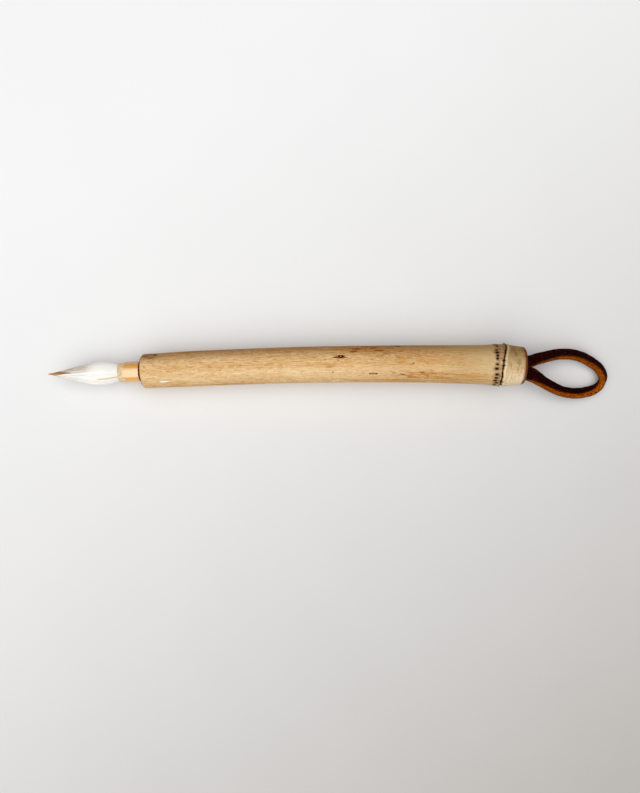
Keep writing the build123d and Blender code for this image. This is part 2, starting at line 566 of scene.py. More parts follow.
@dataclass(frozen=True)
class CulmSkin(Finish):
    """Natural skin of the bamboo culm, with fibres, specks, knots and a stained node."""

    name: str = "culm_skin"
    straw: Colour = srgb(230, 194, 140)
    tan: Colour = srgb(212, 164, 100)
    amber: Colour = srgb(192, 130, 52)
    rust: Colour = srgb(168, 98, 18)
    brown: Colour = srgb(120, 66, 8)
    cream: Colour = srgb(222, 200, 160)
    pale: Colour = srgb(246, 222, 180)
    soot: Colour = srgb(38, 9, 0)
    stain: Colour = srgb(104, 42, 4)
    honey: Colour = srgb(176, 124, 58)
    shadow: Colour = srgb(138, 90, 30)
    neck_tone: Colour = srgb(182, 150, 94)
    # colour of a painted glint near the front of the culm
    painted_glint: Colour = srgb(255, 252, 244)
    end_shadow: Colour = srgb(146, 116, 68)
    end_light: Colour = srgb(244, 224, 194)
    vein: Colour = srgb(140, 104, 58)
    wave: Colour = srgb(96, 62, 26)
    length: float = 184.5
    radius: float = 8.7
    long_mark: float = 10.0

    def paint(self, graph: Graph, shader: bpy.types.Node, effects: Effects) -> None:
        """Joins the culm's colours and relief to its shader."""
        spot = graph.along()
        parts = graph.add("SeparateXYZ", {0: spot})
        station, side = parts.outputs[0], parts.outputs[1]
        broad = graph.group(effects.streaks, Vector=spot, Along=0.03, Across=0.3, Low=0.38, High=0.62)
        fibre = graph.group(effects.streaks, Vector=spot, Along=0.07, Across=2.6, Low=0.35, High=0.65)
        fine = graph.group(effects.streaks, Vector=spot, Along=0.22, Across=3.6, Low=0.38, High=0.62)
        dashes = graph.group(effects.streaks, Vector=spot, Along=0.26, Across=2.0, Low=0.53, High=0.63)
        shifted = graph.add("VectorMath", {0: spot, 1: (60.0, 11.0, 5.0)}, operation="ADD").outputs[0]
        specks = graph.group(effects.streaks, Vector=shifted, Along=0.55, Across=1.8, Low=0.61, High=0.68)
        flecks = graph.group(effects.streaks, Vector=shifted, Along=0.36, Across=2.2, Low=0.54, High=0.64)
        rear = graph.soften(station, self.length - 42, self.length - 12)
        stem = graph.math("SUBTRACT", 1.0, graph.times(rear, 0.7))
        waist = graph.math("SUBTRACT", graph.soften(station, 88.0, 135.0), rear)
        off_light = graph.math("ABSOLUTE", graph.math("ADD", side, 4.2))
        colour = graph.layers(self.straw, [
            (self.tan, broad, 0.8),
            (self.amber, fibre, 0.5),
            (self.pale, fine, 0.4),
            (self.cream, rear, 0.6),
            (self.amber, dashes, stem, 0.62),
            (self.rust, specks, stem, 0.75),
            (self.pale, flecks, 0.45),
            (self.honey, waist, 0.3),
            # painted shade darkening the +Y side away from the light, with some real staining along the top
            (self.shadow, graph.soften(side, 1.9, 9.0), 0.64),
            # painted highlight: a paler band along the lit -Y side of the stem
            (self.pale, graph.soften(off_light, 0.8, 4.4, 0.26, 0.0), stem),
            # darker tone over the stretch just before the node
            (self.neck_tone, graph.soften(station, 140.0, 154.0),
             graph.soften(station, self.length - 17, self.length - 12, 0.42, 0.0)),
        ])
        colour = self._knots(graph, effects, spot, fibre, colour)
        colour = self._rear_end(graph, effects, spot, station, side, colour)
        graph.plug(colour, shader.inputs["Base Color"])
        polish = graph.soften(fibre, 0.0, 1.0, self.roughness - 0.07, self.roughness + 0.09)
        graph.plug(polish, shader.inputs["Roughness"])
        shader.inputs["Specular IOR Level"].default_value = 0.03
        height = graph.math("ADD", graph.times(fibre, 0.6), graph.times(fine, 0.4))
        self.relief(graph, shader, height, 0.06, 0.7)

    def _mark(self, graph: Graph, effects: Effects, spot: Input,
              shape: Sequence[float]) -> bpy.types.NodeSocket:
        """One ragged mark of the skin.

        Args:
            graph: The material's graph.
            effects: Shared node groups.
            spot: The straightened place.
            shape: Station, angle in degrees from the top, half length, half width, raggedness.

        Returns:
            The mask's socket.
        """
        run, turn, half_length, half_width, ragged = shape
        return graph.group(effects.blot, Vector=spot, Station=run, Angle=math.radians(turn),
                           Radius=self.radius, Half_length=half_length, Half_width=half_width,
                           Ragged=ragged)

    def _knots(self, graph: Graph, effects: Effects, spot: Input, fibre: Input,
               colour: Input) -> Input:
        """Adds the scar patch at the front, the knot, the dots and the streaks of the stem.

        Args:
            graph: The material's graph.
            effects: Shared node groups.
            spot: The straightened place.
            fibre: Mask of the fibre, which breaks up the long marks.
            colour: The skin below.

        Returns:
            The colour's socket.
        """
        marks = [
            # station, angle in degrees from the top, half length, half width, raggedness, colour, strength
            (108.0, 44, 13.0, 2.6, 0.9, self.amber, 0.55),
            (118.0, -66, 24.0, 1.6, 1.0, self.amber, 0.9),
            (50.0, -72, 20.0, 1.2, 1.0, self.amber, 0.7),
            (140.0, -34, 16.0, 1.5, 1.4, self.amber, 0.85),
            (138.0, -48, 13.0, 0.9, 1.4, self.rust, 0.8),
            (150.0, -58, 12.0, 1.3, 1.2, self.amber, 0.8),
            (96.0, 50, 16.0, 0.9, 1.3, self.rust, 0.8),
            (108.0, 66, 14.0, 0.9, 1.3, self.rust, 0.8),
            (85.0, 62, 20.0, 1.0, 1.2, self.rust, 0.75),
            (26.0, 66, 20.0, 1.2, 1.2, self.rust, 0.75),
            (4.6, 58, 5.0, 3.2, 0.7, self.brown, 0.42),
            (7.5, 61, 1.2, 1.2, 0.7, self.brown, 0.95),
            (5.4, 74, 2.4, 0.5, 0.7, self.brown, 0.8),
            (2.8, 53, 1.9, 0.45, 0.7, self.brown, 0.95),
            (5.6, 44, 1.9, 0.45, 0.7, self.brown, 0.95),
            (89.0, 74, 3.2, 0.45, 0.6, self.soot, 0.7),
            (103.8, 52, 3.1, 0.75, 0.9, self.brown, 1.0),
            (111.8, 57, 2.6, 0.65, 0.9, self.stain, 0.95),
            (102.4, 40, 2.4, 0.6, 0.9, self.brown, 0.95),
            (114.4, 44, 3.0, 0.6, 0.9, self.brown, 0.95),
            (107.6, 62, 2.2, 0.5, 0.9, self.brown, 0.9),
            (119.5, 56, 2.6, 0.45, 0.9, self.brown, 0.75),
            (117.6, 30, 2.0, 0.4, 0.9, self.brown, 0.6),
            (96.0, 21, 3.2, 1.3, 0.8, self.rust, 0.8),
            (96.3, 22, 1.8, 0.9, 0.7, self.soot, 1.0),
            (93.8, 19, 2.2, 0.42, 0.6, self.stain, 0.9),
            (98.6, 18, 1.2, 0.35, 0.6, self.stain, 0.7),
            (96.2, 23, 0.5, 0.24, 0.2, self.tan, 0.9),
            (111.7, -34, 2.4, 0.7, 0.9, self.rust, 0.6),
            (110.2, -34, 0.7, 0.45, 0.5, self.stain, 0.9),
            (111.6, -34, 0.5, 0.38, 0.5, self.brown, 0.9),
            (113.1, -34, 0.7, 0.45, 0.5, self.brown, 1.0),
            (123.4, 68, 2.0, 0.8, 0.6, self.stain, 0.9),
            (125.8, -37, 1.1, 0.4, 0.6, self.brown, 0.85),
            (130.5, 0, 0.6, 0.42, 0.5, self.stain, 0.8),
            (135.0, -31, 1.3, 0.4, 0.6, self.brown, 0.8),
            (92.4, -27, 0.6, 0.4, 0.5, self.brown, 0.7),
            (90.5, -11, 2.0, 0.4, 0.8, self.amber, 1.0),
            # painted glint: a white fleck standing in for a highlight on the lit -Y side
            (11.5, -43, 2.8, 0.5, 0.6, self.painted_glint, 1.0),
            (158.0, -38, 10.5, 1.6, 1.3, self.amber, 0.95),
            (164.0, -56, 10.5, 1.4, 1.3, self.amber, 0.9),
            (152.0, -20, 10.5, 0.9, 1.3, self.amber, 0.6),
            (183.2, 52, 2.4, 2.6, 0.8, self.stain, 0.85),
            (183.5, -62, 1.0, 3.0, 0.7, self.brown, 0.8),
            (183.9, 0, 0.7, 9.0, 1.2, self.brown, 0.8),
        ]
        for *shape, tint, strength in marks:
            mask = self._mark(graph, effects, spot, shape)
            if shape[2] > self.long_mark:
                mask = graph.times(mask, fibre)
            colour = graph.layers(colour, [(tint, mask, strength)])
        short = graph.group(effects.streaks, Vector=spot, Along=0.42, Across=2.4, Low=0.5, High=0.6)
        clusters = [
            # station, angle in degrees from the top, half length, half width, raggedness, strength
            (105.0, 58, 17.0, 3.4, 0.8, 0.95),
            (126.0, 30, 20.0, 3.0, 0.8, 0.6),
            (132.0, -34, 18.0, 2.6, 0.8, 0.75),
            (60.0, 50, 30.0, 3.0, 0.8, 0.6),
        ]
        for *shape, strength in clusters:
            patch = self._mark(graph, effects, spot, shape)
            colour = graph.layers(colour, [(self.rust, patch, short, strength)])
        return colour

    def _rear_end(self, graph: Graph, effects: Effects, spot: Input, station: Input, side: Input,
                  colour: Input) -> Input:
        """Adds the node's marks, the wavy veins of the last stretch and the stained rim.

        Args:
            graph: The material's graph.
            effects: Shared node groups.
            spot: The straightened place.
            station: Its distance along the culm.
            side: Its distance to +Y.
            colour: The skin below.

        Returns:
            The colour's socket.
        """
        behind = graph.soften(station, self.length - 12.5, self.length - 9.5)
        veins = graph.group(effects.streaks, Vector=spot, Along=1.1, Across=0.35, Low=0.53, High=0.7)
        waves = [(177.9, 50, 1.5, 1.9, 1.5), (178.8, 31, 1.2, 1.6, 1.5), (180.0, 8, 1.4, 1.8, 1.5)]
        dirt = graph.group(effects.band, Vector=spot, Station=self.length - 13.0, Half_width=3.6,
                           Ragged=5.0)
        dark, stained, pale = graph.add(
            "SeparateXYZ", {0: graph.add("Attribute", attribute_name=MARKS).outputs["Vector"]}).outputs
        rim = graph.group(effects.band, Vector=spot, Station=self.length + 0.6, Half_width=2.7, Ragged=1.2)
        front = graph.group(effects.band, Vector=spot, Station=-0.1, Half_width=0.9, Ragged=0.7)
        return graph.layers(colour, [
            (self.end_shadow, graph.soften(side, -8.6, 8.0), behind, 0.8),
            (self.end_light, graph.soften(side, -6.5, -3.0, 0.5, 0.0), behind),
            (self.vein, veins, behind, 0.6),
            *[(self.wave, self._mark(graph, effects, spot, shape), 0.3) for shape in waves],
            (self.brown, dirt, 0.3),
            (self.brown, stained),
            # pale lip of the node: partly its own colour, partly a painted highlight on the lit -Y side
            (self.pale, pale),
            (self.soot, dark),
            (self.stain, rim, 0.92),
            (self.brown, front, 0.85),
        ])


@dataclass(frozen=True)
class TubeSkin(Finish):
    """Glossy skin of the thin bamboo tube, pale and matt where it is whittled."""

    name: str = "tube_skin"
    roughness: float = 0.45
    orange: Colour = srgb(245, 186, 92)
    amber: Colour = srgb(226, 154, 58)
    whittled: Colour = srgb(248, 226, 188)
    shade: Colour = srgb(206, 164, 112)
    shadow: Colour = srgb(184, 112, 22)
    # colour of the painted reflection band of the window
    light: Colour = srgb(255, 238, 208)

    def paint(self, graph: Graph, shader: bpy.types.Node, effects: Effects) -> None:
        """Joins the tube's colours and relief to its shader."""
        spot = graph.along()
        parts = graph.add("SeparateXYZ", {0: spot})
        station, side = parts.outputs[0], parts.outputs[1]
        fibre = graph.group(effects.streaks, Vector=spot, Along=0.12, Across=2.6, Low=0.3, High=0.7)
        patch = graph.group(effects.streaks, Vector=spot, Along=0.3, Across=0.5, Low=0.3, High=0.7)
        middle = graph.math("ABSOLUTE", graph.math("ADD", side, 0.9))
        skin = graph.layers(self.orange, [
            (self.amber, fibre, 0.6),
            (self.amber, patch, 0.3),
            # painted shade on the +Y side, where the glossy skin reflects the dark room, and a painted reflection of
            # the window as a pale band below the middle
            (self.shadow, graph.soften(side, 2.0, 4.8, 0.0, 0.7)),
            (self.light, graph.soften(middle, 1.4, 2.7, 0.45, 0.0)),
        ])
        bare = graph.mix(fibre, self.whittled, self.shade)
        cut = graph.soften(graph.math("ADD", station, graph.wander(patch, 1.3)), 2.6, 3.3, 1.0, 0.0)
        graph.plug(graph.mix(cut, skin, bare), shader.inputs["Base Color"])
        graph.plug(graph.soften(cut, 0.0, 1.0, self.roughness, 0.75), shader.inputs["Roughness"])
        graph.plug(graph.soften(cut, 0.0, 1.0, 1.0, 0.0), shader.inputs["Coat Weight"])
        shader.inputs["Coat Roughness"].default_value = 0.05
        shader.inputs["Coat IOR"].default_value = 1.66
        self.relief(graph, shader, graph.times(fibre, graph.math("ADD", cut, 0.12)), 0.08, 0.8)


@dataclass(frozen=True)
class HairFinish(Finish):
    """Hair along the head: white with cream and grey locks, turning brown towards the point."""

    name: str = "white_hair"
    roughness: float = 0.55
    body: Colour = srgb(255, 255, 255)
    cream: Colour = srgb(248, 237, 208)
    grey: Colour = srgb(222, 214, 196)
    line: Colour = srgb(158, 128, 84)
    brown: Colour = srgb(208, 150, 62)
    dark: Colour = srgb(150, 92, 24)
    golden: Colour = srgb(214, 168, 92)
    turn_start: float = 29.2
    turn_end: float = 31.2
    reach_in: float = 7.0
    sheen: float = 0.2

    def paint(self, graph: Graph, shader: bpy.types.Node, effects: Effects) -> None:
        """Joins the hair's colours and relief to its shader."""
        spot = graph.along()
        parts = graph.add("SeparateXYZ", {0: spot})
        run, side = parts.outputs[0], parts.outputs[1]
        flow = self._flow(graph, parts)
        locks = graph.group(effects.streaks, Vector=flow, Along=0.05, Across=1.0, Low=0.42, High=0.72)
        hairs = graph.group(effects.streaks, Vector=flow, Along=0.09, Across=3.0, Low=0.36, High=0.7)
        fine = graph.group(effects.streaks, Vector=flow, Along=0.14, Across=6.0, Low=0.3, High=0.75)
        lines = graph.group(effects.streaks, Vector=flow, Along=0.06, Across=1.9, Low=0.44, High=0.6)
        stray = graph.group(effects.blot, Vector=spot, Station=4.5, Angle=math.radians(-32), Radius=5.0,
                            Half_length=7.0, Half_width=0.42, Ragged=0.8)
        reach = graph.math("ADD", run, graph.wander(hairs, 2.4))
        middle = graph.math("ABSOLUTE", graph.math("SUBTRACT", side, 0.5))
        bare = graph.soften(middle, 0.15, 1.0, self.reach_in, 0.0)
        point = graph.soften(graph.math("ADD", reach, bare), self.turn_start, self.turn_end)
        colour = graph.layers(self.body, [
            (self.cream, locks, 0.4),
            (self.cream, hairs, 0.2),
            (self.golden, stray, 0.65),
            (graph.mix(lines, self.grey, self.line), graph.soften(reach, 9.0, 19.0),
             graph.soften(side, -0.6, 1.8), graph.soften(hairs, 0.0, 1.0, 0.5, 0.9)),
            (graph.mix(fine, self.brown, self.dark), point, 0.95),
        ])
        graph.plug(colour, shader.inputs["Base Color"])
        shader.inputs["Sheen Weight"].default_value = self.sheen
        shader.inputs["Specular IOR Level"].default_value = 0.15
        height = graph.math("ADD", graph.times(hairs, 0.5), graph.times(fine, 0.5))
        self.relief(graph, shader, height, 0.12, 0.4)

    @staticmethod
    def _flow(graph: Graph, parts: bpy.types.Node) -> Input:
        """Place whose distance from the middle is even, so that streaks draw together at the point.

        Args:
            graph: The material's graph.
            parts: The straightened place, split.

        Returns:
            The vector's socket.
        """
        across = graph.add("CombineXYZ", {1: parts.outputs[1], 2: parts.outputs[2]}).outputs[0]
        turn = graph.add("VectorMath", {0: across}, operation="NORMALIZE").outputs[0]
        ring = graph.add("VectorMath", {0: turn, "Scale": 4.5}, operation="SCALE").outputs[0]
        run = graph.add("CombineXYZ", {0: parts.outputs[0]}).outputs[0]
        return graph.add("VectorMath", {0: ring, 1: run}, operation="ADD").outputs[0]


@dataclass(frozen=True)
class Leather(Finish):
    """Strip of leather: near-black grained faces and raw tan edges."""

    name: str = "lace_leather"
    roughness: float = 0.7
    face: Colour = srgb(20, 2, 2)
    worn: Colour = srgb(60, 11, 6)
    edge: Colour = srgb(164, 82, 10)
    edge_dark: Colour = srgb(78, 27, 3)
    rim: Colour = srgb(36, 9, 3)
    half_width: float = 2.2
    half_thickness: float = 1.8

    def paint(self, graph: Graph, shader: bpy.types.Node, effects: Effects) -> None:
        """Joins the leather's colours and relief to its shader."""
        spot = graph.along()
        parts = graph.add("SeparateXYZ", {0: spot})
        across = graph.math("ABSOLUTE", parts.outputs[1])
        through_it = graph.math("ABSOLUTE", parts.outputs[2])
        grain = graph.noise(spot, 1.0, 6.0)
        nap = graph.noise(spot, 1.5, 5.0)
        wander = graph.wander(graph.noise(spot, 1.1, 3.0), 0.35)
        raw = graph.soften(graph.math("ADD", across, wander), self.half_width - 0.42,
                           self.half_width - 0.2)
        face = graph.mix(graph.soften(grain, 0.45, 0.75), self.face, self.worn)
        border = graph.soften(graph.math("ADD", through_it, wander), self.half_thickness - 0.75,
                              self.half_thickness - 0.3)
        edge = graph.layers(self.edge, [
            (self.edge_dark, graph.soften(nap, 0.4, 0.66)),
            (self.rim, border, 0.85),
        ])
        graph.plug(graph.mix(raw, face, edge), shader.inputs["Base Color"])
        graph.plug(graph.soften(raw, 0.0, 1.0, self.roughness, 0.9), shader.inputs["Roughness"])
        shader.inputs["Specular IOR Level"].default_value = 0.02
        height = graph.math("ADD", graph.times(grain, 0.6), graph.times(nap, 0.4))
        self.relief(graph, shader, height, 0.14, 0.8)


@dataclass(frozen=True)
class Mottled(Finish):
    """Two mottled tones, for glue, rosin and thread."""

    first: Colour = srgb(52, 30, 12)
    second: Colour = srgb(30, 16, 6)
    scale: float = 1.5
    depth: float = 0.05

    def paint(self, graph: Graph, shader: bpy.types.Node, effects: Effects) -> None:
        """Joins the two tones and a light relief to the shader."""
        spot = graph.placed()
        shader.inputs["Specular IOR Level"].default_value = 0.06
        cloud = graph.noise(spot, self.scale, 4.0)
        graph.plug(graph.mix(graph.soften(cloud, 0.35, 0.65), self.first, self.second),
                   shader.inputs["Base Color"])
        graph.plug(graph.soften(cloud, 0.3, 0.7, self.roughness - 0.08, self.roughness + 0.08),
                   shader.inputs["Roughness"])
        self.relief(graph, shader, cloud, self.depth, 0.6)


@dataclass(frozen=True)
class Tabletop(Finish):
    """Plain pale table, a little brighter towards one corner: a falloff of light painted into its colour."""

    name: str = "tabletop"
    roughness: float = 0.8
    # ends of the painted light falloff: near is the shaded end, far the lit end
    near: Colour = (0.403, 0.380, 0.357, 1.0)
    far: Colour = (0.905, 0.913, 0.930, 1.0)

    def paint(self, graph: Graph, shader: bpy.types.Node, effects: Effects) -> None:
        """Joins the table's slow gradient, a painted falloff of light, to its shader."""
        parts = graph.add("SeparateXYZ", {0: graph.placed()})
        slope = graph.math("SUBTRACT", parts.outputs[1], graph.times(parts.outputs[0], 0.65))
        share = graph.soften(slope, -515.0, 210.0)
        cloud = graph.noise(graph.placed(), 0.02, 2.0)
        share = graph.math("ADD", share, graph.wander(cloud, 0.05))
        graph.plug(graph.mix(share, self.near, self.far), shader.inputs["Base Color"])
        shader.inputs["Specular IOR Level"].default_value = 0.2


# ---------------------------------------------------------------- mesh tools


def joint_place(name: str) -> Vector:
    """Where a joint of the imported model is."""
    return Vector(next(j["pos_m"] for j in frame["joints"] if j["name"] == name))


def mount(name: str) -> dict:
    """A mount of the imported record."""
    return next(m for m in frame["record"]["mounts"] if m["name"] == name)


@dataclass
class Spine:
    """A straight start, then a gentle bow to an end point: the middle line of a turned piece."""

    start: Vector
    heading: Vector
    straight: float
    end: Optional[Vector] = None

    def place(self, run: float, side: float, rise: float) -> Vector:
        """Bends one point of a straight piece onto the line.

        Args:
            run: Distance along the line, in metres.
            side: Distance to +Y.
            rise: Distance to +Z.

        Returns:
            The point in the row frame.
        """
        origin = self.start + self.heading * run
        tangent = self.heading
        if self.end is not None and run > self.straight:
            bend = self.start + self.heading * self.straight
            chord = (self.end - bend).length
            middle = bend + self.heading * (chord / 2)
            t = (run - self.straight) / chord
            origin = bend * (1 - t) ** 2 + middle * (2 * t * (1 - t)) + self.end * t ** 2
            tangent = ((middle - bend) * (1 - t) + (self.end - middle) * t).normalized()
        across = Vector((0, 0, 1)).cross(tangent).normalized()
        if across.y < 0:
            across.negate()
        up = across.cross(tangent).normalized()
        if up.z < 0:
            up.negate()
        return origin + across * side + up * rise

    def seat(self, spot: Vector) -> Vector:
        """Place of a straight point, given in mm."""
        return self.place(*(spot * MM))


def lathe(name: str, outline: Sequence[tuple[float, float]], steps: int) -> bmesh.types.BMesh:
    """Turns an outline about the X axis.

    Args:
        name: What is turned, for the log.
        outline: Pairs of distance along the axis and radius, in mm.
        steps: Faces around.

    Returns:
        The closed mesh, in mm.
    """
    mesh = bmesh.new()
    dots = [mesh.verts.new((run, 0.0, radius)) for run, radius in outline]
    edges = [mesh.edges.new(pair) for pair in zip(dots, dots[1:])]
    bmesh.ops.spin(mesh, geom=dots + edges, cent=(0, 0, 0), axis=(1, 0, 0),
                   angle=math.tau, steps=steps, use_merge=True)
    bmesh.ops.remove_doubles(mesh, verts=mesh.verts[:], dist=1e-5)
    bmesh.ops.recalc_face_normals(mesh, faces=mesh.faces[:])
    LOG.debug("%s turned with %d faces", name, len(mesh.faces))
    return mesh


def stand_out(vert: bmesh.types.BMVert, out: float) -> None:
    """Moves a point of a turned mesh away from the axis."""
    grow = 1 + out / math.hypot(vert.co.y, vert.co.z)
    vert.co = (vert.co.x, vert.co.y * grow, vert.co.z * grow)


def meshed(curve: bpy.types.Curve) -> bpy.types.Mesh:
    """Makes a mesh of a curve.

    Args:
        curve: The curve, which is removed.

    Returns:
        The mesh.
    """
    holder = bpy.data.objects.new(curve.name, curve)
    data = bpy.data.meshes.new_from_object(holder)
    bpy.data.objects.remove(holder)
    bpy.data.curves.remove(curve)
    return data


def linked(name: str, data: bpy.types.ID) -> bpy.types.Object:
    """Adds an object to the scene.

    Args:
        name: Its name.
        data: Its mesh, camera or light.

    Returns:
        The object.
    """
    made = bpy.data.objects.new(name, data)
    bpy.context.scene.collection.objects.link(made)
    return made


def finished(mesh: bmesh.types.BMesh, name: str, place: Callable[[Vector], Vector],
             material: bpy.types.Material, slot: Slot) -> bpy.types.Object:
    """Makes an object of a straight mesh, and keeps each point's straightened place.

    Args:
        mesh: Straight mesh, in mm.
        name: The piece's name.
        place: Gives a straight point's place in the row frame.
        material: Its material.
        slot: The record's slot that it takes its finish from.

    Returns:
        The object, linked to the scene.
    """
    layer = mesh.verts.layers.float_vector.new(ALONG)
    for vert in mesh.verts:
        vert[layer] = vert.co
        vert.co = place(vert.co)
    if mesh.calc_volume(signed=True) < 0:
        bmesh.ops.reverse_faces(mesh, faces=mesh.faces[:])
    for face in mesh.faces:
        face.smooth = True
    data = bpy.data.meshes.new(name)
    mesh.to_mesh(data)
    mesh.free()
    data.materials.append(material)
    piece = linked(name, data)
    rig.slot(piece, slot.value)
    LOG.info("%s: %d faces", name, len(data.polygons))
    return piece


def arc(centre: tuple[float, float], radius: float, start: float, end: float,
        count: int = 6) -> list[tuple[float, float]]:
    """Points of a round corner, as pairs of distance along and radius.

    Args:
        centre: The corner's centre.
        radius: Its radius.
        start: First angle in degrees.
        end: Last angle.
        count: Spaces between its points.

    Returns:
        The points.
    """
    angles = [math.radians(start + (end - start) * i / count) for i in range(count + 1)]
    return [(centre[0] + radius * math.cos(a), centre[1] + radius * math.sin(a)) for a in angles]


# ---------------------------------------------------------------- handle


@dataclass
class Handle:
    """The bamboo culm."""

    finish: CulmSkin
    length: float = 184.5
    socket_radius: float = 5.3
    socket_depth: float = 16.0
    lumen_radius: float = 4.0
    septum: float = 3.0
    bore_radius: float = 5.3
    bore_depth: float = 10.0
    corner: float = 1.5
    rim_round: float = 0.9
    steps: int = 256
    stem_step: float = 1.5
    node_step: float = 0.24
    node_start: float = 166.0
    outline: Knots = ((0.0, 8.32), (14.0, 8.45), (27.0, 8.6), (76.0, 8.72), (125.0, 8.95), (150.0, 9.2),
                      (163.5, 9.45), (170.8, 9.95), (174.7, 10.08), (177.6, 9.8), (180.5, 9.42),
                      (184.5, 8.95))
    scar: tuple[float, float, float] = (9.75, -1.05, 2.05)   # to the rear: mean, towards +Y, upwards
    lump_height: float = 0.07
    ridge_height: float = 0.035
    groove_depth: float = 0.5
    brow_height: float = 0.24
    lip_height: float = 0.2
    knob_height: float = 0.55
    knob_turn: float = 82.0
    pit_depth: float = 0.42
    collar_height: float = 0.1
    seen_roots: Sequence[float] = (44.3, 35.0, 25.0, 15.8, -0.6, -12.9, -30.3, -41.3, -51.0, -61.0)
    seed: int = 7

    def __post_init__(self) -> None:
        """Works out the places of the root dots around the node."""
        draw = random.Random(self.seed)
        angles = list(self.seen_roots)
        turn = -71.0
        while turn > -306.0:
            if draw.random() > 0.18:
                angles.append(turn + draw.uniform(-2.0, 2.0))
            turn -= 9.6
        self.roots = [(math.radians(a), draw.uniform(-0.35, 0.35), draw.uniform(0.44, 0.68),
                       draw.uniform(0.85, 1.7)) for a in angles]

    def _profile(self) -> list[tuple[float, float]]:
        """Half outline of the culm, from the septum's front round to its rear."""
        rear = self.length
        stations = []
        run = self.corner
        while run < rear - self.rim_round:
            stations.append((run, through(self.outline, run)))
            run += self.node_step if run > self.node_start else self.stem_step
        septum_rear = rear - self.bore_depth
        septum_front = septum_rear - self.septum
        front_radius = self.outline[0][1]
        rear_radius = through(self.outline, rear - self.rim_round)
        return [
            (septum_front, 0.0),
            (septum_front, self.lumen_radius),
            (self.socket_depth, self.lumen_radius),
            (self.socket_depth, self.socket_radius),
            (0.25, self.socket_radius),
            (0.0, self.socket_radius + 0.25),
            (0.0, (self.socket_radius + front_radius - self.corner) / 2),
            *arc((self.corner, front_radius - self.corner), self.corner, 180, 100),
            *stations,
            *arc((rear - self.rim_round, rear_radius - self.rim_round), self.rim_round, 85, 0),
            (rear, (rear_radius + self.bore_radius) / 2),
            *arc((rear - 0.4, self.bore_radius + 0.4), 0.4, 0, -90),
            (septum_rear, self.bore_radius),
            (septum_rear, 0.0),
        ]

    def _scar_to_rear(self, turn: float) -> float:
        """Distance of the slanted sheath scar from the rear face, at an angle from the top."""
        mean, aside, above = self.scar
        wobble = 0.42 * ripple(math.cos(turn) * 2.2, math.sin(turn) * 2.2, 3.0)
        return mean + aside * math.sin(turn) + above * math.cos(turn) + wobble

    def _relief(self, run: float, turn: float) -> tuple[float, Vector]:
        """Relief and marks of the skin at a place.

        Args:
            run: Distance from the front face.
            turn: Angle from the top towards +Y.

        Returns:
            How far the skin stands out, and how dark, stained and pale it is.
        """
        up, across = math.cos(turn), math.sin(turn)

        def rough(along: float, around: float) -> float:
            """Noise of the skin there, by its marks per mm and around."""
            return ripple(run * along, up * around, across * around)

        out = self.lump_height * rough(0.045, 1.3) + self.ridge_height * rough(0.02, 9.0)
        marks = Vector((0.0, 0.0, 0.0))
        to_rear = self.length - run
        if to_rear > 22:
            return out, marks
        near = rough(0.9, 6.0)
        out += 0.06 * near * smoothstep(22, 16, to_rear)
        ahead = to_rear - self._scar_to_rear(turn)
        ragged = 0.5 + 0.5 * ripple(up * 4.1, across * 4.1, 9.0)
        patchy = max(0.0, ripple(up * 8.0, across * 8.0, 21.0))
        frayed = 0.5 * hump(turn, -0.95, 0.28) * max(0.0, near + 0.3)
        groove = hump(ahead, 0.0, 0.19 + 0.3 * ragged + 0.9 * patchy + frayed)
        brow = hump(ahead, 1.0, 0.65)
        lip = hump(ahead, -1.05, 0.55)
        knob = hump(ahead, 0.3, 0.9) * hump(turn, math.radians(self.knob_turn), 0.26)
        out += (self.brow_height * brow * (0.4 + ragged) + self.lip_height * lip
                + self.knob_height * knob - self.groove_depth * groove)
        smudge = smoothstep(0.1, 0.9, ahead) * smoothstep(4.6, 2.6, ahead)
        cloud = min(0.8, max(0.0, 1.5 * rough(1.1, 11.0)))
        marks.x = min(1.0, 1.7 * groove ** 1.2 * (0.5 + ragged))
        marks.y = max(0.4 * brow * max(0.0, near + 0.35), smudge * cloud, 0.8 * knob)
        # the pale lip is partly its own colour and partly a painted highlight, stronger on the lit -Y side
        marks.z = lip * (0.45 + 0.5 * hump(turn, -0.42, 0.4))
        for angle, shift, size, draw_out in self.roots:
            off_turn = (turn - angle + math.pi) % math.tau - math.pi
            if abs(off_turn) > 0.2:
                continue
            off_run = to_rear - (13.75 + 1.0 * math.cos(angle) + shift)
            reach = (off_run / (size * draw_out)) ** 2 + (off_turn * 10.0 / size) ** 2
            pit = math.exp(-reach)
            collar = math.exp(-(math.sqrt(reach) - 1.7) ** 2 * 3)
            out += self.collar_height * collar - self.pit_depth * pit
            marks.x = max(marks.x, min(1.0, 1.8 * pit))
            marks.y = max(marks.y, 0.28 * collar)
        return out, marks

    def build(self, spine: Spine, effects: Effects) -> bpy.types.Object:
        """Builds the culm.

        Args:
            spine: Its middle line.
            effects: Shared node groups.

        Returns:
            The piece.
        """
        mesh = lathe("culm", self._profile(), self.steps)
        layer = mesh.verts.layers.float_vector.new(MARKS)
        for vert in mesh.verts:
            run, side, rise = vert.co
            skin = smoothstep(self.socket_radius + 1.0, self.socket_radius + 2.4, math.hypot(side, rise))
            if skin <= 0:
                continue
            out, marks = self._relief(run, math.atan2(side, rise))
            stand_out(vert, out * skin)
            vert[layer] = marks * skin
        piece = finished(mesh, "bamboo_culm", spine.seat, self.finish.material(effects), Slot.CULM)
        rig.replaces(piece, "handle")
        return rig.ride(piece, Body.HANDLE.value)


# ---------------------------------------------------------------- ferrule


